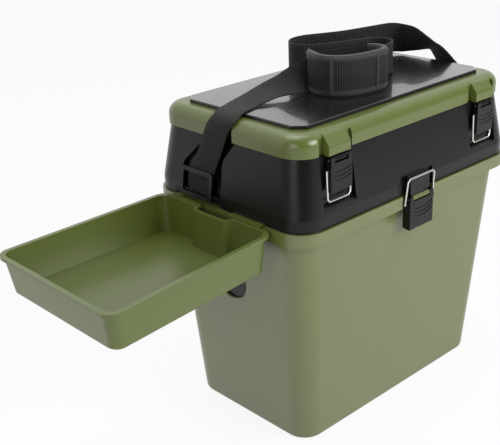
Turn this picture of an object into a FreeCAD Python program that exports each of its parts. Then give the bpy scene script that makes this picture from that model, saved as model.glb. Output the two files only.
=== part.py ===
"""Fishing seat box: a green tub, a black upper storey, a green lid with a seat plate and a side tray.

Millimetres, +Z up, +X to the right along the long side, latches at the front on -Y.
The origin is the middle of the underside.
"""
import FreeCAD, Part
import math
import os

Vector = FreeCAD.Vector

# Clearances between pieces.
moving_gap = 0.3
seam_gap = 0.3
running_fit = 0.08

# Lower tub, drafted from its base to its rim.
tub_base_length = 321.0
tub_base_width = 188.0
tub_flare_length = 38.0
tub_flare_width = 36.0
tub_rim_length = tub_base_length + tub_flare_length
tub_rim_width = tub_base_width + tub_flare_width
tub_corner = 26.0
tub_height = 275.5
tub_wall = 3.0
tub_floor = 3.5
tub_bottom_round = 5.0

# Hollow band round the rim of the tub.
band_overhang = 10.0
band_length = tub_rim_length + 2 * band_overhang
band_width = tub_rim_width + 2 * band_overhang
band_corner = 32.0
band_height = 14.9
band_skirt = 2.5
band_flange = 3.0
band_rib_pitch = 62.0
band_rib_thickness = 2.0

# Upstand that locates the upper storey, left out over the tongues of the tray.
upstand_height = 5.0
upstand_thickness = 2.0
upstand_gap_half = 80.0

# Upper storey: an upright foot, then walls drafted to the rim.
tier_step_length = 5.5
tier_step_width = 5.3
tier_foot_length = band_length - tier_step_length
tier_foot_width = band_width - tier_step_width
tier_corner = 30.0
tier_foot_height = 14.2
tier_height = 76.3
tier_slope_length = 17.5
tier_slope_width = 17.7
tier_rim_length = tier_foot_length - tier_slope_length
tier_rim_width = tier_foot_width - tier_slope_width
tier_wall = 2.5
tier_floor_rise = 5.7
tier_floor = 2.5
lip_inset = 2.5
lip_thickness = 2.0
lip_height = 7.9

# Lid and seat plate.
lid_overhang = 1.0
lid_length = tier_rim_length + 2 * lid_overhang
lid_width = tier_rim_width + 2 * lid_overhang
lid_corner = 28.0
lid_height = 23.6
lid_round = 13.0
lid_wall = 2.5
seat_margin_length = 20.0
seat_margin_width = 20.5
seat_length = lid_length - 2 * seat_margin_length
seat_width = lid_width - 2 * seat_margin_width
seat_thickness = 4.0
seat_cut_corner = 12.0
seat_edge_round = 1.2

# Side latches between the upper storey and the lid.
side_latch_x = 127.4
side_pocket_width = 50.0
side_pocket_low = 24.2
side_pocket_depth = 7.95
side_pocket_floor = tier_foot_width / 2 - side_pocket_depth
lid_pocket_depth = 4.0
lid_pocket_height = 18.5
pocket_ramp = 0.7
side_lever_half = 16.0
side_lever_drop = 35.0
side_lever_depth = 7.0
side_window_half = 10.5
side_bail_half = 18.6
side_bail_reach = 33.7
side_bail_drop = 11.0
side_pin_height = 71.2
side_pin_stand = 5.1
side_pin_front = side_pocket_floor + side_pin_stand
catch_half = 16.4
catch_lead = 0.9
catch_front = side_pin_front + catch_lead
catch_drop = 0.7
catch_brow = 10.0
catch_root = 2.5
catch_back = lid_width / 2 - catch_root
catch_fall = 3.0
catch_edge = 0.5
catch_round = 6.0

# Centre latch between the tub and the upper storey.
centre_notch_half = 28.5
centre_lever_half = 20.8
centre_lever_drop = 37.0
centre_lever_depth = 10.5
centre_window_half = 15.5
centre_bail_half = 25.0
centre_bail_reach = 30.3
centre_bail_drop = 5.5
centre_bail_lean = 2.7
centre_pin_drop = 5.5
centre_pin_stand = 1.5
centre_pin_front = band_width / 2 + centre_pin_stand
centre_recess_half = 28.0
centre_recess_height = 21.2
centre_recess_depth = 3.85
centre_recess_floor = tier_foot_width / 2 - centre_recess_depth
keeper_half = 17.0
keeper_lead = 0.1
keeper_front = centre_pin_front + keeper_lead
keeper_drop = 0.6
keeper_apron_drop = 2.4
keeper_top = 17.0
keeper_groove = 3.0
keeper_lip_round = 1.0

# Sections shared by all three latches.
latch_pin_radius = 1.2
ear_radius = 3.5
plate_thickness = 2.5
cheek_thickness = 2.0
knuckle_radius = 2.5
window_low = 3.0
window_bar_low = 2.5
window_bar_back = 1.5
groove_width = 1.8
groove_depth = 0.7
groove_pitch = 4.6
groove_first = 13.0
groove_radius = 42.0
lever_edge = 1.2
lever_round = 1.6
wire_radius = 1.2
wire_bend = 3.0
bail_taper = 1.4

# Back hinges, two stations each.
hinge_station = 95.0
hinge_knuckle_length = 16.0
hinge_knuckle_gap = 0.4
hinge_radius = 4.2
hinge_pin_radius = 2.0

# Side tray.
tray_length = 216.0
tray_near_width = 179.0
tray_far_width = 201.0
tray_depth = 44.0
tray_gap = 2.0
tray_drop = 1.3
tray_middle_y = 5.5
tray_sag = 2.2
tray_wall = 2.2
tray_corner = 14.0
tray_draft = 4.6
tray_rim_width = 3.0
tray_rim_height = 3.6
tray_rim_thickness = 1.8
tray_recess_depth = 10.0
tray_recess_mouth = 60.0
tray_recess_floor = 45.0
tray_recess_offset = -2.7
tray_recess_round = 7.0
tongue_width = 48.0
tongue_spacing = 93.0
tongue_thickness = 1.6
tongue_reach = 9.0
tongue_side_gap = 2.0
tongue_top_gap = 0.7

# Round port with a flap in the left end of the tub.
port_y = 8.0
port_height = 184.5
port_radius = 24.7
port_chamfer = 1.2
flap_lap = 3.3
flap_thickness = 2.2
flap_pin_rise = 30.5
flap_pin_radius = 1.25
flap_barrel_radius = 2.6
flap_barrel_half = 9.7
flap_ear_thickness = 3.0

# Strap recess in each end of the upper storey, and notch over it in the lid.
recess_depth = 5.5
recess_near = 3.0
recess_far = 69.0
recess_shoulder = 54.0
recess_lean = 19.0
recess_far_shoulder = 38.0
recess_far_lean = 40.0
notch_near = -11.0
notch_far = 26.0
notch_depth = 9.0
notch_height = 17.6

# Webbing, slider and shoulder pad.
web_width = 36.0
web_thickness = 1.6
strap_bar_radius = 1.5
strap_bar_height = 8.2
strap_bar_out = 3.6
slider_width = 53.0
slider_height = 33.0
slider_bar = 5.0
slider_thickness = 2.6
slider_corner = 4.0
slider_middle_y = 39.5
slider_low = 5.0
strap_web_low_y = 38.0
strap_web_slider_y = 35.0
strap_web_middle_y = 28.0
strap_web_top_y = 11.0
pad_height = 46.0
pad_thickness = 8.0

# Heights and places that follow.
tier_base = tub_height + seam_gap
tier_top = tier_base + tier_height
lid_base = tier_top + seam_gap
lid_top = lid_base + lid_height
seat_top = lid_top + seat_thickness
side_pin_z = tier_base + side_pin_height
centre_pin_z = tub_height - centre_pin_drop
tier_draft = math.atan2(tier_foot_length - tier_rim_length, 2 * (tier_height - tier_foot_height))
end_wall_tilt = math.atan2(tub_rim_length - tub_base_length, 2 * tub_height)
over = 1.0
tiny = 1e-4


def rounded(points, radii, closed=True):
    """Return a wire through the points, each corner turned by an arc of its radius."""
    count = len(points)
    edges = []
    stops = []
    for index, corner in enumerate(points):
        radius = radii[index]
        is_end = not closed and index in (0, count - 1)
        back = (points[index - 1] - corner).normalize()
        ahead = (points[(index + 1) % count] - corner).normalize()
        if is_end or radius == 0 or (back + ahead).Length < tiny:
            stops.append((corner, corner))
            continue
        half = back.getAngle(ahead) / 2
        start = corner + back * (radius / math.tan(half))
        end = corner + ahead * (radius / math.tan(half))
        middle = corner + (back + ahead).normalize() * (radius / math.sin(half) - radius)
        edges.append((index, Part.Arc(start, middle, end).toShape()))
        stops.append((start, end))
    arcs = dict(edges)
    chain = []
    last = count if closed else count - 1
    for index in range(count):
        if index in arcs:
            chain.append(arcs[index])
        following = (index + 1) % count
        if index < last and stops[index][1].distanceToPoint(stops[following][0]) > tiny:
            chain.append(Part.makeLine(stops[index][1], stops[following][0]))
    return Part.Wire(chain)


def rectangle(length, width, z):
    """Return the corners of a rectangle about the Z axis, flat at height z."""
    signs = ((1, -1), (1, 1), (-1, 1), (-1, -1))
    return [Vector(sx * length / 2, sy * width / 2, z) for sx, sy in signs]


def outline(length, width, radius, z):
    """Return a rectangle with rounded corners about the Z axis, flat at height z."""
    return rounded(rectangle(length, width, z), [radius] * 4)


def cut_corners(length, width, cut, z):
    """Return a rectangle with straight cut corners about the Z axis, flat at height z."""
    a = length / 2
    b = width / 2
    plan = [(a, cut - b), (a, b - cut), (a - cut, b), (cut - a, b), (-a, b - cut), (-a, cut - b), (cut - a, -b),
            (a - cut, -b)]
    return Part.makePolygon([Vector(x, y, z) for x, y in plan + plan[:1]])


def prism(wire, direction):
    """Return the solid that a flat wire sweeps along a direction."""
    return Part.Face(wire).extrude(direction)


def upright(length, width, radius, low, high):
    """Return a block with rounded upright corners."""
    return prism(outline(length, width, radius, low), Vector(0, 0, high - low))


def faceted(loops):
    """Return the solid whose flat faces are given as loops of points, each turning left seen from outside."""
    shell = Part.Shell([Part.Face(Part.makePolygon(loop + loop[:1])) for loop in loops])
    shell.sewShape()
    return Part.Solid(shell)


def tapered(low, high, radii):
    """Return the solid between two level outlines of flat sides, each upright edge rounded by its radius."""
    count = len(low)
    loops = [low[::-1], high]
    for index in range(count):
        following = (index + 1) % count
        loops.append([low[index], low[following], high[following], high[index]])
    solid = faceted(loops)
    for radius in sorted(set(radii)):
        uprights = []
        for edge in solid.Edges:
            ends = [vertex.Point for vertex in edge.Vertexes]
            for index in range(count):
                reach = max(min(end.distanceToPoint(stop) for end in ends) for stop in (low[index], high[index]))
                if radii[index] == radius and reach < tiny:
                    uprights.append(edge)
        solid = solid.makeFillet(radius, uprights)
    return solid.Solids[0]


def block(x_low, x_high, y_low, y_high, z_low, z_high):
    """Return a box between two corners."""
    return Part.makeBox(x_high - x_low, y_high - y_low, z_high - z_low, Vector(x_low, y_low, z_low))


def side_profile(half, points, radii=None):
    """Return a solid of constant section across X, from points given as (y, z)."""
    corners = [Vector(-half, y, z) for y, z in points]
    wire = rounded(corners, radii or [0] * len(points))
    return prism(wire, Vector(2 * half, 0, 0))


def cross_rod(radius, half, y, z, x=0.0):
    """Return a rod that runs along X."""
    return Part.makeCylinder(radius, 2 * half, Vector(x - half, y, z), Vector(1, 0, 0))


def joined(shapes):
    """Return one solid from shapes that touch or overlap."""
    return shapes[0].multiFuse(shapes[1:]).removeSplitter()


def moved(shape, x=0.0, y=0.0, z=0.0):
    """Return a copy of the shape, shifted."""
    copy = shape.copy()
    copy.translate(Vector(x, y, z))
    return copy


def half_turn(shape):
    """Return the shape turned end for end about the upright axis."""
    copy = shape.copy()
    copy.rotate(Vector(0, 0, 0), Vector(0, 0, 1), 180)
    return copy


def save(name, shape):
    """Write one piece, after a look at whether it is sound."""
    if not shape.isValid():
        raise ValueError(name + " is not a sound solid")
    solid_count = len(shape.Solids)
    print(name, "solids", solid_count, "volume", round(shape.Volume, 1))
    if shape.ShapeType == "Compound" and solid_count == 1:
        shape = shape.Solids[0]
    shape.exportStep("parts/" + name + ".step")


# Lower tub.

def tub_solid(inset, low, high):
    """Return the filled form of the drafted tub, inset all round, between two heights."""
    outlines = []
    for z in (low, high):
        share = z / tub_height
        length = tub_base_length + (tub_rim_length - tub_base_length) * share
        width = tub_base_width + (tub_rim_width - tub_base_width) * share
        outlines.append(rectangle(length - 2 * inset, width - 2 * inset, z))
    return tapered(*outlines, [tub_corner - inset] * 4)


def band_ribs():
    """Return the upright webs that stiffen the hollow band from behind."""
    count = int(band_length / 2 / band_rib_pitch)
    low = tub_height - band_height + band_skirt
    ribs = []
    for step in range(-count, count + 1):
        x = step * band_rib_pitch
        if abs(x) < centre_notch_half:
            continue
        half = band_rib_thickness / 2
        ribs.append(block(x - half, x + half, -band_width / 2 + over, band_width / 2 - over, low, tub_height))
    return ribs


def port_frame():
    """Return the placement of the port: local X runs inward, local Z runs up the end wall."""
    wall_x = -(tub_base_length / 2 + (tub_rim_length - tub_base_length) / 2 * port_height / tub_height)
    turn = FreeCAD.Rotation(Vector(0, 1, 0), -math.degrees(end_wall_tilt))
    return FreeCAD.Placement(Vector(wall_x, port_y, port_height), turn)


def placed(shape, placement):
    """Return the shape carried by a placement."""
    copy = shape.copy()
    copy.Placement = placement.multiply(copy.Placement)
    return copy


flap_face = tub_wall + moving_gap
flap_pin_x = flap_face + flap_barrel_radius


def port_cutter():
    """Return the tool for the round port with its small outer chamfer."""
    through = Part.makeCylinder(port_radius, tub_wall + 2 * over, Vector(-over, 0, 0), Vector(1, 0, 0))
    flare = Part.makeCone(port_radius + port_chamfer, port_radius, port_chamfer, Vector(0, 0, 0), Vector(1, 0, 0))
    return placed(through.fuse(flare), port_frame())


def flap_ears():
    """Return the two ears inside the end wall that hold the pin of the flap."""
    ears = []
    for side in (-1, 1):
        middle = side * (flap_barrel_half + moving_gap + flap_ear_thickness / 2)
        low = middle - flap_ear_thickness / 2
        boss = Part.makeCylinder(flap_barrel_radius, flap_ear_thickness,
                                 Vector(flap_pin_x, low, flap_pin_rise), Vector(0, 1, 0))
        web = Part.makeBox(flap_pin_x - tub_wall + over, flap_ear_thickness, 2 * flap_barrel_radius,
                           Vector(tub_wall - over, low, flap_pin_rise - flap_barrel_radius))
        ears.append(placed(boss.fuse(web), port_frame()))
    return ears


def flap_pin(radius):
    """Return the pin of the flap, or with a larger radius its bore."""
    half = flap_barrel_half + moving_gap + flap_ear_thickness
    rod = Part.makeCylinder(radius, 2 * half, Vector(flap_pin_x, -half, flap_pin_rise), Vector(0, 1, 0))
    return placed(rod, port_frame())


def hatch_flap():
    """Return the round flap with its barrel, hanging behind the port."""
    radius = port_radius + flap_lap
    disc = Part.makeCylinder(radius, flap_thickness, Vector(flap_face, 0, 0), Vector(1, 0, 0))
    tab = Part.makeBox(flap_thickness, 2 * flap_barrel_half, flap_pin_rise - radius / 2,
                       Vector(flap_face, -flap_barrel_half, radius / 2))
    barrel = Part.makeCylinder(flap_barrel_radius, 2 * flap_barrel_half,
                               Vector(flap_pin_x, -flap_barrel_half, flap_pin_rise), Vector(0, 1, 0))
    body = placed(joined([disc, tab, barrel]), port_frame())
    return body.cut(flap_pin(flap_pin_radius + running_fit))


def knuckle(latch_x, pin_front, pin_z, half, radius, back, neck_low):
    """Return the fixed knuckle of a latch, standing out from the wall to its pin."""
    barrel = cross_rod(radius, half, -pin_front, pin_z)
    neck = block(-half, half, -pin_front, -back, pin_z - neck_low, pin_z - latch_pin_radius / 2)
    nose = block(-half, half, -pin_front - radius, -pin_front, pin_z - neck_low, pin_z)
    solid = joined([barrel, neck, nose.common(cross_rod(radius, half, -pin_front, pin_z))])
    return moved(solid.cut(cross_rod(latch_pin_radius, half + over, -pin_front, pin_z)), x=latch_x)


def lower_body():
    """Return the green tub with its band, front notch, latch lug and port."""
    outer = tub_solid(0, 0, tub_height)
    bottom = [edge for edge in outer.Edges if edge.BoundBox.ZMax < tiny]
    cavity = tub_solid(tub_wall, tub_floor, tub_height + upstand_height)
    band_low = tub_height - band_height
    band = upright(band_length, band_width, band_corner, band_low, tub_height)
    inner = 2 * band_skirt
    hollow = prism(cut_corners(band_length - inner, band_width - inner, band_corner - band_skirt, band_low - over),
                   Vector(0, 0, band_height + over - band_flange))
    edge = centre_notch_half + band_skirt
    notch_box = block(-centre_notch_half, centre_notch_half, -band_width, 0, band_low - over,
                      tub_height + upstand_height + over)
    notch_cheeks = block(-edge, edge, -band_width, 0, band_low, tub_height)
    hollow = hollow.cut(outer).cut(notch_cheeks).cut(Part.makeCompound(band_ribs()))
    upstand = upright(tier_foot_length - 2 * (tier_wall + moving_gap), tier_foot_width - 2 * (tier_wall + moving_gap),
                      tier_corner - tier_wall - moving_gap, tub_height, tub_height + upstand_height)
    inside = 2 * (tier_wall + moving_gap + upstand_thickness)
    upstand = upstand.cut(upright(tier_foot_length - inside, tier_foot_width - inside,
                                  tier_corner - tier_wall - moving_gap - upstand_thickness,
                                  tub_height - over, tub_height + upstand_height + over))
    upstand = upstand.cut(block(-band_length, band_length, -upstand_gap_half, upstand_gap_half,
                                tub_height, tub_height + upstand_height + over))
    clear = centre_recess_half + tier_wall + moving_gap
    upstand = upstand.cut(block(-clear, clear, -band_width, 0, tub_height, tub_height + upstand_height + over))
    band = band.cut(hollow).fuse(upstand).cut(notch_box)
    lug = knuckle(0, centre_pin_front, centre_pin_z, centre_window_half - moving_gap,
                  knuckle_radius + moving_gap, tub_base_width / 2, ear_radius + centre_bail_drop)
    shell = outer.makeFillet(tub_bottom_round, bottom)
    body = joined([shell, band, lug] + hinge_knuckles("tier", False))
    body = body.cut(cavity)
    body = joined([body] + flap_ears())
    return body.cut(port_cutter()).cut(flap_pin(flap_pin_radius))


# Back hinges.

hinge_axes = {
    "tier": (band_width / 2 + hinge_radius + moving_gap, tub_height),
    "lid": (lid_width / 2 + hinge_radius + moving_gap, lid_base),
}
hinge_roots = {
    ("tier", False): (band_width - band_skirt) / 2,
    ("tier", True): (tier_foot_width - tier_wall) / 2,
    ("lid", False): (tier_rim_width - tier_wall) / 2,
    ("lid", True): (lid_width - lid_wall) / 2,
}


def hinge_knuckles(hinge, moving):
    """Return the knuckles of one hinge: the middle ones when moving, else the outer pairs."""
    axis_y, axis_z = hinge_axes[hinge]
    root = hinge_roots[hinge, moving]
    pitch = hinge_knuckle_length + hinge_knuckle_gap
    shapes = []
    for station in (-hinge_station, hinge_station):
        for offset in ((0,) if moving else (-pitch, pitch)):
            x = station + offset
            half = hinge_knuckle_length / 2
            barrel = cross_rod(hinge_radius, half, axis_y, axis_z, x)
            low, high = (seam_gap, hinge_radius) if moving else (-hinge_radius, -seam_gap)
            foot = block(x - half, x + half, root, axis_y, axis_z + low, axis_z + high)
            bore = hinge_pin_radius + (running_fit if moving else 0)
            shapes.append(barrel.fuse(foot).cut(cross_rod(bore, half + over, axis_y, axis_z, x)))
    return shapes


def hinge_pin(hinge, side):
    """Return one hinge pin."""
    axis_y, axis_z = hinge_axes[hinge]
    half = 1.5 * hinge_knuckle_length + hinge_knuckle_gap
    return cross_rod(hinge_pin_radius, half, axis_y, axis_z, side * hinge_station)


# Upper storey.

def tier_solid(inset, low, high):
    """Return the filled form of the upper storey, inset all round, between two heights."""
    foot_top = tier_base + tier_foot_height
    slope_length = (tier_rim_length - tier_foot_length) / (tier_height - tier_foot_height)
    slope_width = (tier_rim_width - tier_foot_width) / (tier_height - tier_foot_height)
    outlines = []
    for z in (foot_top, max(high, tier_top)):
        rise = z - foot_top
        outlines.append(rectangle(tier_foot_length + slope_length * rise - 2 * inset,
                                  tier_foot_width + slope_width * rise - 2 * inset, z))
    sloped = tapered(*outlines, [tier_corner - inset] * 4)
    foot = min(sloped.Faces, key=lambda face: face.BoundBox.ZMax).extrude(Vector(0, 0, low - foot_top))
    whole = joined([sloped, foot]) if low < foot_top else sloped
    return whole.common(upright(2 * tier_foot_length, 2 * tier_foot_width, tier_corner, low, high))


def end_face_x(z):
    """Return how far out the left end face of the upper storey stands at a height."""
    rise = max(0.0, z - tier_base - tier_foot_height)
    return -(tier_foot_length / 2 - math.tan(tier_draft) * rise)


def recess_wire(grow, low):
    """Return the outline of the strap recess on an upright plane outside the left end."""
    top = tier_top + over
    points = [
        (recess_near - grow, low),
        (recess_near - grow, tier_base + recess_shoulder),
        (recess_near - recess_lean - grow, top),
        (recess_far - recess_far_lean + grow, top),
        (recess_far + grow, tier_base + recess_far_shoulder),
        (recess_far + grow, low),
    ]
    corners = [Vector(-tier_foot_length, y, z) for y, z in points]
    return rounded(corners, [0, recess_lean, 0, 0, recess_lean, 0])


def strap_recess():
    """Return the tool that cuts the strap recess, parallel to the end face."""
    prism_through = prism(recess_wire(0, tier_base - over), Vector(tier_foot_length, 0, 0))
    return prism_through.cut(tier_solid(recess_depth, tier_base - 2 * over, tier_top + 2 * over))


def strap_recess_backing():
    """Return the wall behind the strap recess."""
    prism_through = prism(recess_wire(tier_wall, tier_base), Vector(tier_foot_length, 0, 0))
    behind = tier_solid(recess_depth + tier_wall, tier_base - over, tier_top + over)
    top = tier_top - tier_floor
    return prism_through.cut(behind).common(tier_solid(0, tier_base, top))


def latch_pocket(x, grow=0.0):
    """Return the pocket of a side latch, or with grow the block that walls it in."""
    half = side_pocket_width / 2 + grow
    back = -side_pocket_floor + grow
    low = tier_base + side_pocket_low - grow
    high = tier_top - tier_floor if grow else tier_top + lip_height
    outer_low = low - pocket_ramp * (band_width + back)
    return moved(side_profile(half, [(back, low), (-band_width, outer_low), (-band_width, high), (back, high)]), x=x)


def centre_pocket(grow=0.0):
    """Return the front recess over the centre latch, or with grow the block that walls it in."""
    half = centre_recess_half + grow
    high = tier_base + centre_recess_height + grow
    low = tier_base if grow else tier_base - over
    room = block(-half, half, -band_width, -centre_recess_floor + grow, low, high)
    return room if grow else room.cut(block(-keeper_half, keeper_half, -band_width, 0, tier_base, high))


def keeper():
    """Return the catch that the centre bail holds, with a groove behind its lip."""
    low = tier_base - keeper_drop
    high = tier_base + keeper_top
    lip = plate_thickness
    apron_half = centre_window_half - moving_gap
    apron = block(-apron_half, apron_half, -keeper_front, -keeper_front + lip, tier_base - keeper_apron_drop,
                  low + lip)
    points = [
        (-centre_recess_floor + over, low),
        (-keeper_front, low),
        (-keeper_front, high),
        (-keeper_front + lip, high),
        (-keeper_front + lip, high - keeper_groove),
        (-centre_recess_floor - lip, high - keeper_groove),
        (-centre_recess_floor + over, high - keeper_groove / 2),
    ]
    edge = keeper_lip_round
    return side_profile(keeper_half, points, [0, 0, edge, edge, edge, 0, 0]).fuse(apron)


def upper_tier():
    """Return the black upper storey."""
    outer = tier_solid(0, tier_base, tier_top)
    floor_low = tier_base + tier_floor_rise
    floor_high = floor_low + tier_floor
    lip_low = tier_top - tier_floor
    cavity = tier_solid(tier_wall, floor_high, lip_low)
    below = tier_solid(tier_wall, tier_base - over, floor_low)
    lip = upright(tier_rim_length - 2 * lip_inset, tier_rim_width - 2 * lip_inset, tier_corner - lip_inset,
                  lip_low, tier_top + lip_height)
    inset = lip_inset + lip_thickness
    mouth = upright(tier_rim_length - 2 * inset, tier_rim_width - 2 * inset, tier_corner - inset,
                    lip_low - over, tier_top + lip_height + over)
    lip_gaps = []
    walls = [centre_pocket(tier_wall).common(outer), strap_recess_backing(), half_turn(strap_recess_backing())]
    pockets = [centre_pocket()]
    knuckles = []
    for x in (-side_latch_x, side_latch_x):
        walls.append(latch_pocket(x, tier_wall).common(outer))
        pockets.append(latch_pocket(x))
        gap_half = side_pocket_width / 2 + tier_wall + moving_gap
        lip_gaps.append(block(x - gap_half, x + gap_half, -tier_foot_width, 0, tier_top, tier_top + lip_height + over))
        knuckles.append(knuckle(x, side_pin_front, side_pin_z, side_window_half - moving_gap, knuckle_radius,
                                side_pocket_floor - over, ear_radius))
    lining = Part.makeCompound(walls)
    body = joined([outer, lip])
    body = body.cut(mouth.cut(lining)).cut(cavity.cut(lining)).cut(below.cut(lining))
    body = body.cut(Part.makeCompound(lip_gaps))
    for pocket in pockets:
        body = body.cut(pocket)
    for shape in (strap_recess(), half_turn(strap_recess())):
        body = body.cut(shape)
    for sign in (-1, 1):
        y = tray_middle_y + sign * tongue_spacing / 2
        half = tongue_width / 2 + tongue_side_gap
        top = tub_height + tongue_thickness + tongue_top_gap
        relief = block(-tier_foot_length, -tier_foot_length / 2 + tongue_reach + tongue_side_gap,
                       y - half, y + half, tier_base - over, top)
        body = body.cut(relief)
    shapes = [body, keeper()] + knuckles + hinge_knuckles("tier", True) + hinge_knuckles("lid", False)
    body = joined(shapes)
    for bar in (strap_bar(), half_turn(strap_bar())):
        body = body.cut(bar)
    return body


# Latches.

def lever(half, drop, depth, window_half, window_high, bail_drop, bail_back):
    """Return a latch lever about its pin axis: a front plate, two cheeks, a window and three grooves."""
    front = -ear_radius
    shoulder = -ear_radius - cheek_thickness
    points = [
        (front, -drop),
        (front, ear_radius),
        (ear_radius / 2, ear_radius),
        (ear_radius, 0),
        (depth + front, shoulder - over),
        (depth + front, -drop + cheek_thickness),
    ]
    body = side_profile(half, points, [lever_edge, lever_edge, lever_round, lever_round, lever_round, lever_edge])
    inside = half - cheek_thickness
    body = body.cut(block(-inside, inside, front + plate_thickness, depth + over, -drop - over, -window_low - over))
    behind = window_low + over
    body = body.cut(block(-window_half, window_half, front - over, depth + over, -window_low, window_high))
    body = body.cut(block(-window_half, window_half, -window_bar_back, depth + over, -behind, ear_radius + over))
    body = body.cut(cross_rod(latch_pin_radius + running_fit, half + over, 0, 0))
    body = body.cut(cross_rod(wire_radius + running_fit, half + over, bail_back, -bail_drop))
    for step in range(3):
        body = body.cut(grip_groove(half - cheek_thickness, front, -groove_first - step * groove_pitch))
    return body


def grip_groove(half, front, z):
    """Return one curved groove of the finger grip, its ends higher than its middle."""
    centre = Vector(0, front - over, z + groove_radius)
    depth = groove_depth + over
    outer = Part.makeCylinder(groove_radius + groove_width / 2, depth, centre, Vector(0, 1, 0))
    inner = Part.makeCylinder(groove_radius - groove_width / 2, depth, centre, Vector(0, 1, 0))
    window = block(-half, half, front - over, front + groove_depth, z - groove_width, z + groove_radius)
    return outer.cut(inner).common(window)


def bail(half, reach, lean, lever_half, sense):
    """Return a wire bail about its pivot axis, its crossbar above it or, with sense -1, below."""
    end = lever_half - cheek_thickness
    top = half - bail_taper
    turn = wire_bend / reach
    left = [
        Vector(-end, 0, 0),
        Vector(-half, 0, 0),
        Vector(-top - bail_taper * turn, -lean * (1 - turn), sense * (reach - wire_bend)),
        Vector(-top + wire_bend, -lean, sense * reach),
    ]
    right = [Vector(-point.x, point.y, point.z) for point in reversed(left)]
    path = Part.makePolygon(left + right)
    section = Part.Wire(Part.makeCircle(wire_radius, left[0], Vector(1, 0, 0)))
    return path.makePipeShell([section], True, False, 1)


def latch_pin(half, x, front, z):
    """Return the cross pin of a latch, flush with the cheeks of its lever."""
    return cross_rod(latch_pin_radius, half, -front, z, x)


# Lid.

def lid_form(inset, low, high):
    """Return the filled form of the lid, its upper edge rounded, or bevelled where it is the hollow."""
    solid = upright(lid_length - 2 * inset, lid_width - 2 * inset, lid_corner - inset, low, high)
    rim = [edge for edge in solid.Edges if edge.BoundBox.ZMin > high - tiny]
    return solid.makeChamfer(lid_round - inset, rim) if inset else solid.makeFillet(lid_round, rim)


def catch():
    """Return the catch that stands proud of the lid at a side latch, its front running up into the lid's round."""
    back = -lid_width / 2 + lid_round
    points = [
        (back, lid_base),
        (-side_pocket_floor - moving_gap, lid_base),
        (-side_pocket_floor - moving_gap, lid_base - catch_drop),
        (-catch_front, lid_base - catch_drop),
        (-catch_front, lid_base + catch_brow),
        (-catch_back, lid_top - catch_fall),
        (back, lid_top),
    ]
    return side_profile(catch_half, points, [0, 0, 0, catch_edge, catch_round, catch_round, 0])


def lid():
    """Return the green lid."""
    outer = lid_form(0, lid_base, lid_top)
    cavity = lid_form(lid_wall, lid_base - over, lid_top - lid_wall)
    additions = []
    for x in (-side_latch_x, side_latch_x):
        half = side_pocket_width / 2
        floor = -lid_width / 2 + lid_pocket_depth
        pocket = block(x - half, x + half, -lid_width, floor, lid_base - over,
                       lid_base + lid_pocket_height)
        grown = block(x - half - lid_wall, x + half + lid_wall, -lid_width, floor + lid_wall, lid_base,
                      lid_base + lid_pocket_height + lid_wall)
        outer = outer.cut(pocket)
        cavity = cavity.cut(grown)
        additions.append(moved(catch(), x=x).cut(block(x - half, x + half, floor + lid_wall, 0, lid_base, lid_top)))
    body = joined([outer.cut(cavity)] + additions + hinge_knuckles("lid", True))
    inner = lid_length / 2 - notch_depth
    notch = block(-lid_length, -inner, notch_near, notch_far, lid_base - over, lid_base + notch_height)
    return body.cut(notch).cut(half_turn(notch))


def seat_pad():
    """Return the seat plate with its cut corners."""
    solid = prism(cut_corners(seat_length, seat_width, seat_cut_corner, lid_top), Vector(0, 0, seat_thickness))
    rim = [edge for edge in solid.Edges if edge.BoundBox.ZMin > seat_top - tiny]
    return solid.makeFillet(seat_edge_round, rim)


# Side tray.

def tray_corners(inset, z):
    """Return the corners of the tray's outline, each side moved inward by the inset."""
    near = tray_near_width / 2
    far = tray_far_width / 2
    mouth = tray_recess_mouth / 2
    floor = tray_recess_floor / 2
    middle = tray_recess_offset
    plan = [
        (0, -near),
        (0, middle - mouth),
        (-tray_recess_depth, middle - floor),
        (-tray_recess_depth, middle + floor),
        (0, middle + mouth),
        (0, near),
        (-tray_length, far),
        (-tray_length, -far),
    ]
    points = [Vector(x, y, z) for x, y in plan]
    result = []
    for index, corner in enumerate(points):
        back = (corner - points[index - 1]).normalize()
        ahead = (points[(index + 1) % len(points)] - corner).normalize()
        inward = Vector(-back.y - ahead.y, back.x + ahead.x, 0)
        result.append(corner + inward * (inset / (1 + back.dot(ahead))))
    return result


def tray_radii(inset):
    """Return the corner radii of the tray's outline."""
    corner = tray_corner - inset / 2
    bend = tray_recess_round
    return [corner, bend, bend, bend, bend, corner, corner, corner]


def tray_pan(inset, low, high):
    """Return the drafted filled form of the tray between two heights, inset by a wall at its rim."""
    slope = tray_draft / tray_depth
    return tapered(tray_corners(inset - slope * low, low), tray_corners(inset - slope * high, high),
                   tray_radii(inset))


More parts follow.
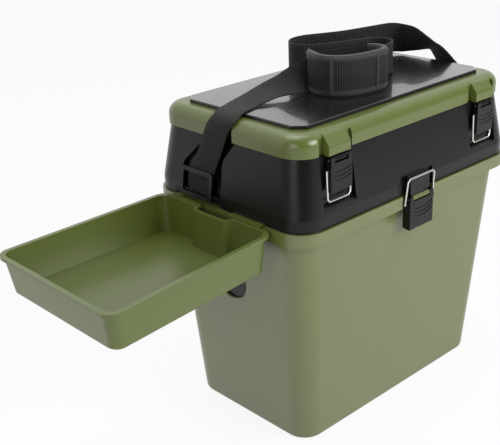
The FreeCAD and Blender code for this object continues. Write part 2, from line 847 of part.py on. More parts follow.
def side_tray():
    """Return the bait tray, its rim rolled outward, with the two tongues that hang it on the band."""
    outer = tray_pan(tray_rim_width, -tray_depth, 0)
    bottom = [edge for edge in outer.Edges if edge.BoundBox.ZMax < -tray_depth + tiny]
    outer = outer.makeChamfer(tray_wall, bottom)
    rim = prism(rounded(tray_corners(0, -tray_rim_height), tray_radii(0)), Vector(0, 0, tray_rim_height))
    lower = -tray_rim_height - over
    under = prism(rounded(tray_corners(tray_rim_thickness, lower), tray_radii(tray_rim_thickness)),
                  Vector(0, 0, tray_rim_height + over - tray_rim_thickness))
    pan = joined([outer, rim.cut(under.cut(outer))])
    pan = pan.cut(tray_pan(tray_rim_width + tray_wall, tray_wall - tray_depth, over))
    edge_x = -band_length / 2 - tray_gap
    rim_z = tub_height - tray_drop
    turn = FreeCAD.Rotation(Vector(0, 1, 0), -tray_sag)
    pan = placed(pan, FreeCAD.Placement(Vector(edge_x, tray_middle_y, rim_z), turn))
    tongues = []
    for sign in (-1, 1):
        y = tray_middle_y + sign * tongue_spacing / 2
        half = tongue_width / 2
        inner_x = -tier_foot_length / 2 + tongue_reach
        top = tub_height + tongue_thickness
        plate = block(edge_x - tray_rim_width, inner_x, y - half, y + half, tub_height, top)
        riser = block(edge_x - tray_rim_width, edge_x, y - half, y + half, rim_z - tray_rim_height / 2, top)
        tongues.append(plate.fuse(riser))
    return joined([pan] + tongues)


# Strap.

def strap_bar():
    """Return the bar across the foot of the strap recess."""
    x = -tier_foot_length / 2 + strap_bar_out
    z = tier_base + strap_bar_height
    sink = tier_wall / 2
    start = recess_near - sink
    return Part.makeCylinder(strap_bar_radius, recess_far - recess_near + 2 * sink, Vector(x, start, z), Vector(0, 1, 0))


def ribbon(stations):
    """Return webbing through stations, each the two edges of the webbing as points."""
    sections = []
    count = len(stations)
    for index, (near, far) in enumerate(stations):
        before = stations[max(index - 1, 0)]
        after = stations[min(index + 1, count - 1)]
        along = (after[0] + after[1]) - (before[0] + before[1])
        lift = along.cross(far - near).normalize() * web_thickness
        sections.append([near, near + lift, far + lift, far])
    loops = [sections[0], sections[-1][::-1]]
    for start, end in zip(sections, sections[1:]):
        for index in range(4):
            following = (index + 1) % 4
            loops.append([start[index], end[index], end[following]])
            loops.append([start[index], end[following], start[following]])
    return faceted(loops)


def side_webbing():
    """Return the webbing from the strap bar up the end of the upper storey."""
    places = [
        (strap_web_low_y, strap_bar_height),
        (strap_web_slider_y, tier_foot_height + moving_gap),
        (strap_web_middle_y, slider_low + slider_height),
        (strap_web_top_y, tier_height - over),
    ]
    stations = []
    for index, (y, rise) in enumerate(places):
        z = tier_base + rise
        x = end_face_x(z) - moving_gap
        if index == 0:
            x = -tier_foot_length / 2 + strap_bar_out - strap_bar_radius
        stations.append((Vector(x, y - web_width / 2, z), Vector(x, y + web_width / 2, z)))
    return ribbon(stations)


def slider():
    """Return the webbing slider: an open frame in front of the webbing, parallel to the end face."""
    half_width = slider_width / 2
    low = tier_base + slider_low
    plate = Part.makeBox(slider_thickness, slider_width, slider_height, Vector(-slider_thickness, -half_width, 0))
    across = [edge for edge in plate.Edges if edge.BoundBox.XLength > slider_thickness / 2]
    window = block(-slider_thickness - over, over, slider_bar - half_width, half_width - slider_bar,
                   slider_bar, slider_height - slider_bar)
    solid = plate.makeFillet(slider_corner, across).cut(window)
    foot_top = tier_base + tier_foot_height
    back = end_face_x(foot_top) - 2 * moving_gap - web_thickness
    x = back - math.tan(tier_draft) * (foot_top - low)
    turn = FreeCAD.Rotation(Vector(0, 1, 0), math.degrees(tier_draft))
    return placed(solid, FreeCAD.Placement(Vector(x, slider_middle_y, low), turn))


def standing(points, radii, thickness, low, height):
    """Return a strip that stands on edge along a route seen in plan."""
    route = rounded([Vector(x, y, low) for x, y in points], radii, closed=False)
    face = route.makeOffset2D(thickness, 0, True, True, False)
    return face.extrude(Vector(0, 0, height))


pad_route = [(-46, 2), (-55, -20), (-52, -42), (-30, -55), (2, -59.5), (21, -55), (17, -34)]
pad_bends = [0, 40, 16, 30, 46, 9.5, 0]


def shoulder_pad():
    """Return the padded sleeve of the strap, curled on the seat."""
    return standing(pad_route, pad_bends, -pad_thickness, seat_top + moving_gap, pad_height)


def over_left_webbing():
    """Return the webbing from the left edge of the lid to the sleeve, turning up on its edge."""
    flat = seat_top + moving_gap
    edge = -lid_length / 2 - web_thickness + moving_gap
    stations = [
        (Vector(edge, -8, tier_top + 1.2), Vector(edge, 28, tier_top + 1.2)),
        (Vector(edge, -10, lid_base + lid_height / 2), Vector(edge, 26, lid_base + lid_height / 2)),
        (Vector(edge + 4.6, -11, lid_top - 1.5), Vector(edge + 4.6, 25, lid_top - 1.5)),
        (Vector(-166, -12, flat), Vector(-165, 24, flat)),
        (Vector(-137, -5.5, flat), Vector(-137, 30, flat + 1.5)),
        (Vector(-122, -5.5, flat + 2.6), Vector(-122, 30.5, flat + 4.6)),
        (Vector(-106, -5, flat + 4.0), Vector(-106, 30.5, flat + 8.4)),
        (Vector(-91, -5, flat + 3.6), Vector(-91, 29, flat + 12.6)),
        (Vector(-76, -7, flat + 2.6), Vector(-75, 23.5, flat + 18.6)),
        (Vector(-62, -7, flat + 1.0), Vector(-61, 13, flat + 29.6)),
        (Vector(-50, -1, flat), Vector(-50, 3, flat + 36)),
        (Vector(-48, 1.6, flat), Vector(-48, 4.4, flat + 36)),
    ]
    return ribbon(stations)


loop_plan = [(18.5, -33.5), (30, -30), (48, -28), (66, -26), (74, -21), (77.5, -13), (78.5, -3), (76, 5), (71, 9.5),
             (55, 16), (37, 22.5), (14, 32), (2, 39), (-6, 48), (-11, 61), (-6, 75.5), (10, 85), (31, 85), (56, 74),
             (81, 61), (120, 49), (150, 38)]


def webbing_loop():
    """Return the webbing that stands in a loop behind the shoulder pad."""
    flat = seat_top + moving_gap
    return ribbon([(Vector(x, y, flat + web_width), Vector(x, y, flat)) for x, y in loop_plan])


def over_right_webbing():
    """Return the webbing from the loop down over the right edge of the lid."""
    edge = lid_length / 2 + web_thickness - moving_gap
    flat = seat_top + moving_gap
    stations = [
        (Vector(151.5, 37.5, flat + 36), Vector(151.5, 37, flat)),
        (Vector(159, 29, flat + 35), Vector(161, 27, flat)),
        (Vector(164, 14, flat + 33), Vector(170, 13, flat)),
        (Vector(168, -3, lid_top + 31), Vector(179, 3, lid_top - 1.5)),
        (Vector(174, -25, lid_top + 18), Vector(edge, -3, lid_top - 8)),
        (Vector(edge, -39, lid_top + 2), Vector(edge, -8, lid_top - 14)),
        (Vector(edge, -46, tier_top + 7), Vector(edge, -10, tier_top + 1.2)),
    ]
    return ribbon(stations)


def build():
    """Make every piece and write it."""
    os.makedirs("parts", exist_ok=True)
    save("lower_body", lower_body())
    save("hatch_flap", hatch_flap())
    save("hatch_pin", flap_pin(flap_pin_radius))
    save("upper_tier", upper_tier())
    save("lid", lid())
    save("seat_pad", seat_pad())
    save("side_tray", side_tray())
    for name, side in (("left", -1), ("right", 1)):
        save("tier_hinge_pin_" + name, hinge_pin("tier", side))
        save("lid_hinge_pin_" + name, hinge_pin("lid", side))
        x = side * side_latch_x
        shape = lever(side_lever_half, side_lever_drop, side_lever_depth, side_window_half,
                      window_bar_low, side_bail_drop, 0.5)
        save(name + "_lever", moved(shape, x, -side_pin_front, side_pin_z))
        save(name + "_lever_pin", latch_pin(side_lever_half, x, side_pin_front, side_pin_z))
        wire = bail(side_bail_half, side_bail_reach, 0, side_lever_half, -1)
        save(name + "_bail", moved(wire, x, -side_pin_front + 0.5, side_pin_z - side_bail_drop))
    shape = lever(centre_lever_half, centre_lever_drop, centre_lever_depth, centre_window_half,
                  ear_radius + over, centre_bail_drop, 1.0)
    save("centre_lever", moved(shape, 0, -centre_pin_front, centre_pin_z))
    save("centre_lever_pin", latch_pin(centre_lever_half, 0, centre_pin_front, centre_pin_z))
    wire = bail(centre_bail_half, centre_bail_reach, centre_bail_lean, centre_lever_half, 1)
    save("centre_bail", moved(wire, 0, -centre_pin_front + 1.0, centre_pin_z - centre_bail_drop))
    for name, turned in (("left", False), ("right", True)):
        for piece, shape in (("strap_bar", strap_bar()), ("slider", slider()), ("webbing", side_webbing())):
            save(name + "_" + piece, half_turn(shape) if turned else shape)
    save("over_left_webbing", over_left_webbing())
    save("webbing_loop", webbing_loop())
    save("over_right_webbing", over_right_webbing())
    save("shoulder_pad", shoulder_pad())


build()
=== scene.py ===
import math

import bmesh
import bpy
from mathutils import Matrix, Vector


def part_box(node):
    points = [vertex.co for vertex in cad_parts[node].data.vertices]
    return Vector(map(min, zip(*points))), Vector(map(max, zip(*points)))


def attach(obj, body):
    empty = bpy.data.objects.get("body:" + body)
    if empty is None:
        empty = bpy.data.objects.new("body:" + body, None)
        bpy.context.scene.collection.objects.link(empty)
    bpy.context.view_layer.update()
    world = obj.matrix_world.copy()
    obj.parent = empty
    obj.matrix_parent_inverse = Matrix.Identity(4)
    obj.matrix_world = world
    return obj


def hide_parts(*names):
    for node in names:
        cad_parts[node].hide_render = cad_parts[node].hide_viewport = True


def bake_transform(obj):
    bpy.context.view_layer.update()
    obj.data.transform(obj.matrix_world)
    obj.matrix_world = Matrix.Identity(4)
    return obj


# The seat box as it was constructed: every rigid piece is already in its place, at its real size.
# What follows gives each one its finish, and makes the soft strap and its sleeve.
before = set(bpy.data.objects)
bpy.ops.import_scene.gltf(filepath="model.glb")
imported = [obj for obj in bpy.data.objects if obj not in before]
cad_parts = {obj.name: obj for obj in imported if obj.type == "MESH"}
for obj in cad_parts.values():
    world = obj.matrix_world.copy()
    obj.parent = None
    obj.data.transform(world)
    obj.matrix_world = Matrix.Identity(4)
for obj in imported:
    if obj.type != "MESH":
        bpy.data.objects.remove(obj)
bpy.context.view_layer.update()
scene = bpy.context.scene
scene.view_settings.view_transform = "Standard"


# The camera stands to the left of the front, looks down on the lid, and rolls by about two degrees.
# Its place and lens are the ones that put the box's corners where the photograph has them.
camera_azimuth = math.radians(-42.42)
camera_elevation = math.radians(23.08)
camera_roll = math.radians(-2.266)
camera_target = Vector((-0.14733, 0.0, 0.24804))
camera_distance = 1.06409
lens_length = 67.99
sensor_width = 36.0
view_depth = 50.0
bpy.ops.object.camera_add()
camera = bpy.context.object
camera.name = "camera"
back = Vector((math.sin(camera_azimuth) * math.cos(camera_elevation),
               -math.cos(camera_azimuth) * math.cos(camera_elevation), math.sin(camera_elevation)))
camera.location = camera_target + back * camera_distance
turn = (-back).to_track_quat("-Z", "Y").to_matrix().to_4x4()
camera.matrix_world = Matrix.Translation(camera.location) @ turn @ Matrix.Rotation(camera_roll, 4, "Z")
camera.data.sensor_width = sensor_width
camera.data.lens = lens_length
camera.data.clip_end = view_depth
scene.camera = camera


# The floor and the light: a plain white studio. In what mirrors it, the floor is white only to a little way
# in front of the box, so that upright faces mirror white near the ground and a darker room higher up.
# The floor has the first material, so what writes materials is defined here.
class Sum:
    """One output of a node: each operator adds the Math node that works it out."""

    def __init__(self, tree, socket):
        self.tree = tree
        self.socket = socket

    def combine(self, operation, first, second=None):
        node = self.tree.nodes.new("ShaderNodeMath")
        node.operation = operation
        for index, value in enumerate((first, second)):
            if isinstance(value, Sum):
                self.tree.links.new(value.socket, node.inputs[index])
            elif value is not None:
                node.inputs[index].default_value = value
        return Sum(self.tree, node.outputs[0])

    def __add__(self, other):
        return self.combine("ADD", self, other)

    def __radd__(self, other):
        return self.combine("ADD", other, self)

    def __sub__(self, other):
        return self.combine("SUBTRACT", self, other)

    def __rsub__(self, other):
        return self.combine("SUBTRACT", other, self)

    def __mul__(self, other):
        return self.combine("MULTIPLY", self, other)

    def __rmul__(self, other):
        return self.combine("MULTIPLY", other, self)

    def sine(self):
        return self.combine("SINE", self)

    def absolute(self):
        return self.combine("ABSOLUTE", self)

    def fraction(self):
        return self.combine("FRACT", self)

    def above(self, edge):
        return self.combine("GREATER_THAN", self, edge)

    def at_least(self, floor):
        return self.combine("MAXIMUM", self, floor)


class Nodes:
    """A node tree of the world or of a material."""

    def __init__(self, tree):
        self.tree = tree

    def node(self, kind, sockets=None, **settings):
        """Add a node of a type: its settings are set first, then the values or links of its sockets."""
        made = self.tree.nodes.new("ShaderNode" + kind)
        for key, value in settings.items():
            setattr(made, key, value)
        self.fill(made, sockets or {})
        return made

    def fill(self, node, sockets):
        """Give sockets of a node, by name or number, their values or links."""
        for key, value in sockets.items():
            if isinstance(value, Sum):
                self.tree.links.new(value.socket, node.inputs[key])
            else:
                node.inputs[key].default_value = value

    def out(self, node, name=0):
        """Return one output of a node, for sums and links."""
        return Sum(self.tree, node.outputs[name])

    def rise(self, value, start, end, low, high):
        """Return what rises smoothly from low to high as a value goes from start to end."""
        sockets = {"Value": value, "From Min": start, "From Max": end, "To Min": low, "To Max": high}
        return self.out(self.node("MapRange", sockets, interpolation_type="SMOOTHSTEP"))


class Finish(Nodes):
    """A material under construction: its node tree and its shader."""

    def __init__(self, name):
        self.material = bpy.data.materials.new(name)
        self.material.use_nodes = True
        super().__init__(self.material.node_tree)
        self.shader = self.tree.nodes["Principled BSDF"]

    def place(self):
        """Return the place on the object, in metres."""
        return self.out(self.node("TexCoord"), "Object")

    def noise(self, where, scale, detail):
        """Return a cloudy value from 0 to 1 about the place given."""
        return self.out(self.node("TexNoise", {"Vector": where, "Scale": scale, "Detail": detail}), "Fac")

    def blend(self, factor, first, second):
        """Return a colour between two, by the numbered sockets that a Mix node has for colours."""
        return self.out(self.node("Mix", {0: factor, 6: first, 7: second}, data_type="RGBA"), 2)

    def relief(self, height, distance):
        """Feed the shader's normal with a height, of which 1 stands for the distance in metres."""
        self.feed(Normal=self.out(self.node("Bump", {"Height": height, "Distance": distance})))

    def feed(self, **sockets):
        """Give the shader its values and links, an underscore in a name standing for a space."""
        self.fill(self.shader, {name.replace("_", " "): value for name, value in sockets.items()})


floor_size = 14.0
floor_drop = 0.0006
floor_white = 0.80
floor_roughness = 0.9
floor_glow = 0.90
floor_front_dark = -0.66
floor_front_white = -0.40
pure_white = (1, 1, 1, 1)
room_dim = 0.06
room_bright = 1.15
room_light = 0.42
bright_side = (0.30, 0.80, 0.52)
bright_side_start = -0.15
bright_side_end = 0.55
bpy.ops.mesh.primitive_plane_add(size=floor_size, location=(0, 0, -floor_drop))
studio_floor = bpy.context.object
studio_floor.name = "studio_floor"
white = Finish("studio_white")
white.feed(Base_Color=(floor_white, floor_white, floor_white, 1), Roughness=floor_roughness)
rays = white.node("LightPath")
from_front = white.out(white.node("SeparateXYZ", {"Vector": white.place()}), "Y")
reach = white.rise(from_front, floor_front_dark, floor_front_white, room_dim, 1.0)
mirrored = white.out(rays, "Is Glossy Ray") * reach
seen = white.out(rays, "Is Camera Ray").at_least(mirrored.at_least(white.out(rays, "Is Transmission Ray")))
glow = white.out(white.node("Emission", {"Color": pure_white, "Strength": 1.0}))
lit_floor = white.node("MixShader", {0: seen * floor_glow, 1: white.out(white.shader), 2: glow})
white.fill(white.tree.nodes["Material Output"], {"Surface": white.out(lit_floor)})
studio_floor.data.materials.append(white.material)

# The air is plain white to the camera and lights the box evenly. What mirrors it finds it bright behind,
# above and to the right of the box, and dim in front.
world = bpy.data.worlds.new("studio_air")
world.use_nodes = True
scene.world = world
air = Nodes(world.node_tree)
air_rays = air.node("LightPath")
is_camera = air.out(air_rays, "Is Camera Ray")
is_glossy = air.out(air_rays, "Is Glossy Ray")
compass = air.out(air.node("TexCoord"), "Generated")
facing = air.node("VectorMath", {0: compass, 1: bright_side}, operation="DOT_PRODUCT")
mirrored_air = air.rise(air.out(facing, "Value"), bright_side_start, bright_side_end, room_dim, room_bright)
air_level = is_camera + is_glossy * mirrored_air + (1 - is_camera) * (1 - is_glossy) * room_light
air.fill(air.tree.nodes["Background"], {"Color": pure_white, "Strength": air_level})

# The lamps are soft squares: name, place, width in metres and power in watts.
lamp_aim = Vector((0, 0, 0.2))
studio_lamps = (
    ("key", (0.5, -2.0, 1.3), 1.2, 48.0),
    ("left_fill", (-2.1, -0.7, 0.8), 1.0, 10.0),
    ("top", (-0.1, 0.4, 2.0), 1.2, 15.0),
)
for lamp_name, lamp_place, lamp_size, lamp_power in studio_lamps:
    bpy.ops.object.light_add(type="AREA", location=lamp_place)
    lamp = bpy.context.object
    lamp.name = lamp_name
    lamp.data.size = lamp_size
    lamp.data.energy = lamp_power
    lamp.rotation_euler = (lamp_aim - Vector(lamp_place)).to_track_quat("-Z", "Y").to_euler()


# The lower tub, the lid and the bait tray are injection moulded in olive green polypropylene, the tub a
# little paler. The lid turns on pins at the back, and the tray hangs by two tongues from the tub's ledge.
# Their skin is satin, very slightly clouded, with long shallow waves and the fine grain of the mould.
olive = (0.074, 0.098, 0.0140, 1)
olive_pale = (0.091, 0.118, 0.0205, 1)
tub_olive = (0.088, 0.105, 0.0190, 1)
tub_olive_pale = (0.104, 0.123, 0.0260, 1)
clouds_per_metre = 9.0
waves_per_metre = 22.0
grains_per_metre = 1500.0
cloud_roughness = 0.10
grain_height = 0.30
wave_height = 2.0
mould_relief = 0.00018


def moulded(name, deep, pale, smoothest):
    """Return a satin moulded plastic: two near colours clouded together, over waves and a fine grain."""
    finish = Finish(name)
    place = finish.place()
    cloud = finish.noise(place, clouds_per_metre, 3.0)
    grain = finish.noise(place, grains_per_metre, 2.0)
    wave = finish.noise(place, waves_per_metre, 1.0)
    finish.feed(Base_Color=finish.blend(cloud, deep, pale), Roughness=smoothest + cloud_roughness * cloud)
    finish.relief(grain * grain_height + wave * wave_height, mould_relief)
    return finish


def dress(material, *names):
    """Give solid pieces a finish."""
    for name in names:
        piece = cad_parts[name]
        piece.data.materials.clear()
        piece.data.materials.append(material)


green = moulded("olive_moulding", olive, olive_pale, smoothest=0.25)
green.feed(Specular_IOR_Level=0.70)
dress(green.material, "lid", "side_tray")
tub_green = moulded("tub_moulding", tub_olive, tub_olive_pale, smoothest=0.27)
tub_green.feed(Specular_IOR_Level=0.85, IOR=1.6)
dress(tub_green.material, "lower_body")


# The upper storey is moulded in the same plastic in black, and turns on pins at the back of the tub.
# The three latch levers, the webbing sliders, their bars and the flap in the tub's left end match it.
black_deep = (0.0030, 0.0030, 0.0028, 1)
black_pale = (0.0052, 0.0051, 0.0046, 1)
black = moulded("black_moulding", black_deep, black_pale, smoothest=0.24)
black.feed(Specular_IOR_Level=0.26)
dress(black.material, "upper_tier", "left_lever", "right_lever", "centre_lever", "left_slider",
      "right_slider", "left_strap_bar", "right_strap_bar", "hatch_flap")


# The seat is a hard black plate with cut corners, set flat on the lid and finished in a high gloss.
# Its face ripples slightly, so that what it mirrors breaks up.
seat_black = (0.008, 0.008, 0.009, 1)
ripples_per_metre = 60.0
specks_per_metre = 420.0
seat_roughness = 0.21
speck_roughness = 0.06
speck_height = 0.2
seat_relief = 0.00022
seat = Finish("gloss_seat")
seat_place = seat.place()
seat_ripple = seat.noise(seat_place, ripples_per_metre, 3.0)
seat_speck = seat.noise(seat_place, specks_per_metre, 2.0)
seat.feed(Base_Color=seat_black, Roughness=seat_roughness + speck_roughness * seat_speck)
seat.feed(Coat_Weight=0.66, Coat_Roughness=0.06, Specular_IOR_Level=0.36)
seat.relief(seat_ripple + speck_height * seat_speck, seat_relief)
dress(seat.material, "seat_pad")


# The bails are bent from bright nickel-plated wire and turn in their levers. The pins of the levers,
# of the two back hinges and of the flap are plain drawn steel, pushed in across what turns on them.
def metal(name, colour, clouds, smoothest, clouding):
    """Return a bare metal whose roughness is slightly clouded, with so many clouds to the metre."""
    finish = Finish(name)
    cloud = finish.noise(finish.place(), clouds, 2.0)
    finish.feed(Base_Color=colour, Metallic=1.0, Roughness=smoothest + clouding * cloud)
    return finish


nickel_wire = metal("nickel_wire", (0.62, 0.61, 0.58, 1), clouds=160.0, smoothest=0.16, clouding=0.12)
dress(nickel_wire.material, "left_bail", "right_bail", "centre_bail")
pin_steel = metal("pin_steel", (0.42, 0.42, 0.42, 1), clouds=300.0, smoothest=0.28, clouding=0.15)
dress(pin_steel.material, "hatch_pin", "centre_lever_pin", "left_lever_pin", "right_lever_pin",
      "tier_hinge_pin_left", "tier_hinge_pin_right", "lid_hinge_pin_left", "lid_hinge_pin_right")


# The shoulder strap is flat black webbing, woven in fine ribs across its width. At each end of the upper
# storey it goes behind a slider to a bar, and it passes through the sleeve: a left and a right run show.
# Each station of a run gives the webbing's two edges, and the webbing runs smoothly through the stations.
web_width = 0.036
web_half = web_width / 2
web_thickness = 0.0016
web_steps = 10
web_cells = 6
web_edge_round = web_thickness * 0.28
web_smooth_angle = math.radians(40)
web_clouds_per_metre = 60.0
rib_pitch = 0.0029
cord_pitch = 0.0045
plain_edge = 0.0014
chevron_lean = 3.0
rib_height = 0.5
cord_height = 0.14
edge_height = 0.35
rib_shade = 0.42
cord_shade = 0.08
web_cloud_least = 0.7
web_cloud_range = 0.5
web_smoothest = 0.70
web_cloud_roughness = 0.1
web_relief = 0.00060
web_deep = (0.0020, 0.0020, 0.0018, 1)
web_pale = (0.0210, 0.0205, 0.0170, 1)
seat_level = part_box("seat_pad")[1][2]
seat_clearance = 0.0004
flat = seat_level + web_thickness / 2 + seat_clearance
bar_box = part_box("left_strap_bar")
bar_out = bar_box[0][0] - web_thickness / 2


def smooth(points, steps):
    """Return points on the curve through the given ones, steps to each stretch."""
    result = []
    last = len(points) - 1
    for index in range(last):
        before = points[max(index - 1, 0)]
        start = points[index]
        end = points[index + 1]
        after = points[min(index + 2, last)]
        for step in range(steps):
            t = step / steps
            pull = (start * 2 + (end - before) * t
                    + (before * 2 - start * 5 + end * 4 - after) * t * t
                    + (start * 3 - before - end * 3 + after) * t * t * t)
            result.append(pull / 2)
    result.append(points[-1])
    return result


def distances(points):
    """Return how far along a line each of its points is."""
    run = [0.0]
    for index in range(1, len(points)):
        run.append(run[-1] + (points[index] - points[index - 1]).length)
    return run


def webbing(name, stations):
    """Return a webbing strip through stations, with its weave laid out in metres on its own map."""
    low = smooth([Vector(a) for a, b in stations], web_steps)
    high = smooth([Vector(b) for a, b in stations], web_steps)
    count = len(low)
    run = distances([(a + b) / 2 for a, b in zip(low, high)])
    width = (low[0] - high[0]).length
    bpy.ops.mesh.primitive_grid_add(x_subdivisions=count - 1, y_subdivisions=web_cells, size=2)
    strip = bpy.context.object
    strip.name = name
    mesh = strip.data
    mesh.name = name
    cells = {}
    for vertex in mesh.vertices:
        along = round((vertex.co.x + 1) / 2 * (count - 1))
        across = (vertex.co.y + 1) / 2
        cells[vertex.index] = (along, across)
        vertex.co = low[along].lerp(high[along], across)
    for loop in mesh.loops:
        along, across = cells[loop.vertex_index]
        mesh.uv_layers.active.data[loop.index].uv = (run[along], across * width)
    thick = strip.modifiers.new("thickness", "SOLIDIFY")
    thick.thickness = web_thickness
    thick.offset = 0.0
    bpy.ops.object.modifier_apply(modifier=thick.name)
    round_edge = strip.modifiers.new("round_edge", "BEVEL")
    round_edge.width = web_edge_round
    round_edge.segments = 2
    round_edge.limit_method = "ANGLE"
    bpy.ops.object.modifier_apply(modifier=round_edge.name)
    bpy.ops.object.shade_smooth_by_angle(angle=web_smooth_angle)
    return strip


def on_map(finish):
    """Return how far along and how far across its piece a place is, in metres, from the piece's own map."""
    parts = finish.node("SeparateXYZ", {"Vector": finish.out(finish.node("UVMap"), "UV")})
    return finish.out(parts, "X"), finish.out(parts, "Y")


def woven(name, deep, pale):
    """Return the finish of the webbing: ribs across it that zigzag slightly, plainer along its edges."""
    finish = Finish(name)
    along, across = on_map(finish)
    chevron = ((across * (1 / cord_pitch)).fraction() - 0.5).absolute()
    rib = (along * (2 * math.pi / rib_pitch) + chevron * chevron_lean).sine()
    cord = (across * (2 * math.pi / cord_pitch)).sine()
    inner = (web_half - (across - web_half).absolute()).above(plain_edge)
    cloud = finish.noise(finish.place(), web_clouds_per_metre, 3.0)
    shade = (0.5 + rib_shade * rib + cord_shade * cord) * (web_cloud_least + web_cloud_range * cloud)
    finish.feed(Base_Color=finish.blend(shade, deep, pale))
    finish.feed(Roughness=web_smoothest + web_cloud_roughness * cloud)
    finish.feed(Sheen_Weight=0.05, Sheen_Roughness=0.45, Specular_IOR_Level=0.30)
    height = (rib * rib_height + cord * cord_height) * (edge_height + (1 - edge_height) * inner)
    finish.relief(height, web_relief)
    return finish


web_black = woven("webbing_weave", web_deep, web_pale)


def level_station(x, y, z):
    """Return a station whose edges lie level across the box's width."""
    return ((x, y - web_half, z), (x, y + web_half, z))


# Left run: from the bar at the foot of its recess, behind the slider, over the lid's edge,
# nearly flat above the seat, and turning up on edge into the sleeve.
left_stations = [
    level_station(bar_out + 0.0012, 0.0385, bar_box[0][2] + 0.0006),
    level_station(bar_out, 0.0380, bar_box[1][2] + 0.0002),
    level_station(-0.1869, 0.0370, 0.2935),
    level_station(-0.1858, 0.0350, 0.3030),
    level_station(-0.1843, 0.0315, 0.3130),
    level_station(-0.1822, 0.0236, 0.3330),
    level_station(-0.1810, 0.0180, 0.3460),
    level_station(-0.1803, 0.0130, 0.3580),
    level_station(-0.1797, 0.0070, 0.3690),
    ((-0.1752, -0.0150, 0.3760), (-0.1745, 0.0215, 0.3765)),
    ((-0.1670, -0.0130, 0.3795), (-0.1650, 0.0240, 0.3800)),
    ((-0.1560, -0.0100, flat), (-0.1520, 0.0270, flat)),
    ((-0.1370, -0.0055, flat), (-0.1370, 0.0300, flat + 0.0015)),
    ((-0.1220, -0.0055, flat + 0.0020), (-0.1220, 0.0305, flat + 0.0040)),
    ((-0.1060, -0.0050, flat + 0.0034), (-0.1060, 0.0305, flat + 0.0078)),
    ((-0.0910, -0.0050, flat + 0.0030), (-0.0910, 0.0290, flat + 0.0120)),
    ((-0.0760, -0.0070, flat + 0.0022), (-0.0750, 0.0235, flat + 0.0180)),
    ((-0.0620, -0.0070, flat + 0.0010), (-0.0610, 0.0130, flat + 0.0290)),
    ((-0.0500, -0.0010, flat), (-0.0500, 0.0030, flat + 0.0355)),
    ((-0.0400, 0.0030, flat), (-0.0400, 0.0040, flat + 0.0360)),
]
left_strap = webbing("strap_left", left_stations)
left_strap.data.materials.append(web_black.material)
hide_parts("left_webbing", "over_left_webbing")
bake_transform(left_strap)

# Right run: out of the sleeve, round a bend, back behind the sleeve, round again and away to the right,
# on edge all the way, then laid over the lid's edge and down to its own slider.
stand_height = 0.0372
foot_rise = 0.022
foot_rise_start = 0.056


def standing_station(x, y):
    """Return a station that stands on edge on the seat, a little off it towards the right end."""
    foot = flat + max(0.0, x - foot_rise_start) * foot_rise
    return ((x, y, foot), (x, y, foot + stand_height))


def leaning_station(x, y, z, fall, lean):
    """Return a station whose upper edge has fallen forward by some degrees, leaning in over the seat."""
    fall_angle = math.radians(fall)
    forward = web_width * math.sin(fall_angle) / math.hypot(1, lean)
    return ((x, y, z), (x - lean * forward, y - forward, z + web_width * math.cos(fall_angle)))


def turned(station):
    """Return a station turned end for end about the upright axis."""
    return tuple((-x, -y, z) for x, y, z in station)


loop_plan = (
    (0.016, -0.034), (0.030, -0.030), (0.048, -0.028), (0.066, -0.026), (0.0765, -0.017),
    (0.0785, -0.003), (0.071, 0.0095), (0.055, 0.0160), (0.037, 0.0225), (0.014, 0.0320),
    (-0.0040, 0.0460), (-0.0100, 0.0605), (-0.0048, 0.0738), (0.0105, 0.0840), (0.031, 0.0850),
    (0.056, 0.0740), (0.081, 0.0610), (0.120, 0.0490), (0.146, 0.0400),
)
right_stations = [standing_station(x, y) for x, y in loop_plan] + [
    leaning_station(0.1577, 0.0297, 0.3827, 4, 0.60),
    leaning_station(0.1625, 0.0205, 0.3843, 25, 0.60),
    leaning_station(0.1665, 0.0110, 0.3860, 50, 0.60),
    leaning_station(0.1695, 0.0035, 0.3877, 65, 0.60),
    leaning_station(0.1722, -0.0035, 0.3882, 73, 0.60),
    leaning_station(0.1755, -0.0065, 0.3820, 74, 0.50),
    leaning_station(0.1795, -0.0090, 0.3730, 76, 0.34),
    leaning_station(0.1820, -0.0110, 0.3620, 84, 0.04),
    turned(level_station(-0.1812, 0.0300, 0.3470)),
    turned(level_station(-0.1822, 0.0300, 0.3300)),
    turned(level_station(-0.1843, 0.0310, 0.3130)),
    turned(level_station(-0.1858, 0.0335, 0.3030)),
    turned(level_station(-0.1869, 0.0360, 0.2935)),
    turned(level_station(bar_out, 0.0380, bar_box[1][2] + 0.0002)),
    turned(level_station(bar_out + 0.0012, 0.0385, bar_box[0][2] + 0.0006)),
]
right_strap = webbing("strap_right", right_stations)
right_strap.data.materials.append(web_black.material)
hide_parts("right_webbing", "over_right_webbing", "webbing_loop")
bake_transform(right_strap)


# The shoulder sleeve is a padded fabric tube round the webbing, curled on the seat like a C, on edge.
# Tape binds its long edges, and a ribbed panel is let in between two upright seams.
sleeve_route = (
    (-0.0435, 0.0045), (-0.0515, -0.0110), (-0.0548, -0.0270), (-0.0490, -0.0410), (-0.0360, -0.0510),
    (-0.0180, -0.0565), (0.0000, -0.0585), (0.0130, -0.0570), (0.0215, -0.0490), (0.0225, -0.0385),
    (0.0170, -0.0300),
)
sleeve_steps = 40
sleeve_levels = 14
sleeve_height = 0.0455
sleeve_half_thickness = 0.0040
sleeve_bulge = 0.0011
sleeve_edge_pinch = 0.0022
inner_face_pinch = 0.0003
end_thickness = 0.55
end_thickening = 6
tape_depth = 0.0058
tape_lift = 0.0009
seam_half_share = 0.011
panel_start = 0.305
panel_end = 0.665
panel_sink = 0.0005
panel_rib_pitch = 0.0025
panel_rib_height = 0.00032
cloth_part = 0
tape_part = 1
panel_part = 2
sleeve_smooth_angle = math.radians(50)
cloth_clouds_per_metre = 90.0
thread_shade = 0.3
cloth_cloud_least = 0.6
cloth_cloud_range = 0.7
cloth_smoothest = 0.55
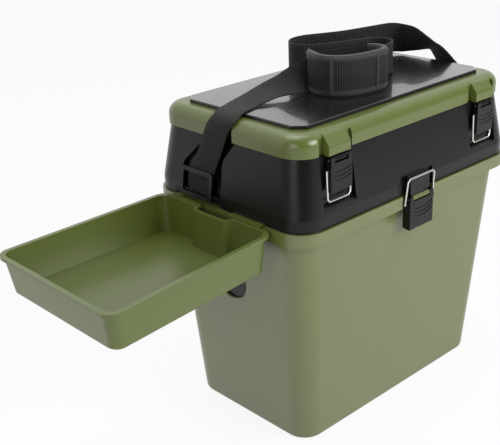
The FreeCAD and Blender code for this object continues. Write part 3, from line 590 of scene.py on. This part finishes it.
cloth_cloud_roughness = 0.15
cloth_relief = 0.00012


def sleeve_section(share, run):
    """Return the section of the sleeve at a share of its route, as (outward, up, part) from its foot."""
    outer = []
    is_panel = panel_start < share < panel_end
    rib = panel_rib_height * math.sin(2 * math.pi * run / panel_rib_pitch) if is_panel else 0.0
    from_seam = min(abs(share - panel_start), abs(share - panel_end))
    seam_lift = tape_lift if from_seam < seam_half_share else 0.0
    for level in range(sleeve_levels + 1):
        up = sleeve_height * level / sleeve_levels
        from_edge = min(up, sleeve_height - up)
        bulge = sleeve_bulge * math.sin(math.pi * level / sleeve_levels)
        taped = from_edge < tape_depth
        lift = tape_lift if taped else rib + seam_lift - panel_sink * is_panel
        out = sleeve_half_thickness + bulge + lift
        if from_edge == 0:
            out -= sleeve_edge_pinch
        part = panel_part if is_panel else cloth_part
        outer.append((out, up, tape_part if taped or seam_lift else part))
    inner = [(inner_face_pinch - out, up, tape_part if part == tape_part else cloth_part)
             for out, up, part in reversed(outer)]
    return outer + inner


def sleeve_mesh():
    """Return the sleeve as a closed mesh, its faces sorted into cloth, tape and ribbed panel."""
    route = smooth([Vector((x, y, 0)) for x, y in sleeve_route], sleeve_steps)
    run = distances(route)
    foot = seat_level + seat_clearance
    body = bmesh.new()
    layer = body.loops.layers.uv.new("plan")
    rings = []
    parts = []
    for index, point in enumerate(route):
        ahead = route[min(index + 1, len(route) - 1)] - route[max(index - 1, 0)]
        outward = Vector((ahead.y, -ahead.x, 0)).normalized()
        share = run[index] / run[-1]
        closing = min(1.0, end_thickness + end_thickening * min(share, 1 - share))
        section = sleeve_section(share, run[index])
        places = [(point + outward * out * closing, up) for out, up, part in section]
        rings.append([body.verts.new((place.x, place.y, foot + up)) for place, up in places])
        parts.append([part for out, up, part in section])
    size = len(rings[0])
    for index in range(len(rings) - 1):
        for row in range(size):
            following = (row + 1) % size
            corners = (rings[index][row], rings[index + 1][row],
                       rings[index + 1][following], rings[index][following])
            face = body.faces.new(corners)
            pair = (parts[index][row], parts[index][following])
            face.material_index = tape_part if tape_part in pair else min(pair)
            for loop, at in zip(face.loops, (index, index + 1, index + 1, index)):
                loop[layer].uv = (run[at], loop.vert.co.z)
    for ring in (rings[0], rings[-1]):
        body.faces.new(ring)
    bmesh.ops.recalc_face_normals(body, faces=body.faces)
    mesh = bpy.data.meshes.new("shoulder_sleeve")
    body.to_mesh(mesh)
    body.free()
    return mesh


def cloth(name, deep, pale, threads_per_metre, sheen):
    """Return a close black cloth: a fine cross weave with a little sheen."""
    finish = Finish(name)
    along, up = on_map(finish)
    thread_turn = 2 * math.pi * threads_per_metre
    weave = (along * thread_turn).sine() * (up * thread_turn).sine()
    cloud = finish.noise(finish.place(), cloth_clouds_per_metre, 3.0)
    shade = (0.5 + thread_shade * weave) * (cloth_cloud_least + cloth_cloud_range * cloud)
    finish.feed(Base_Color=finish.blend(shade, deep, pale))
    finish.feed(Roughness=cloth_smoothest + cloth_cloud_roughness * cloud)
    finish.feed(Sheen_Weight=sheen, Sheen_Roughness=0.4, Specular_IOR_Level=0.35)
    finish.relief(weave, cloth_relief)
    return finish


sleeve = bpy.data.objects.new("shoulder_sleeve", sleeve_mesh())
scene.collection.objects.link(sleeve)
# In the order of the part numbers: name, deep and pale colour, threads to the metre and sheen.
sleeve_finishes = (
    cloth("sleeve_cloth", (0.003, 0.003, 0.003, 1), (0.010, 0.010, 0.0088, 1), 900.0, 0.04),
    cloth("sleeve_tape", (0.014, 0.014, 0.0125, 1), (0.040, 0.039, 0.0345, 1), 1300.0, 0.12),
    cloth("sleeve_panel", (0.0025, 0.0025, 0.0024, 1), (0.012, 0.0117, 0.0102, 1), 700.0, 0.05),
)
for finish in sleeve_finishes:
    sleeve.data.materials.append(finish.material)
bpy.ops.object.select_all(action="DESELECT")
sleeve.select_set(True)
bpy.context.view_layer.objects.active = sleeve
bpy.ops.object.shade_smooth_by_angle(angle=sleeve_smooth_angle)
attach(sleeve, "lid")
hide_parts("shoulder_pad")
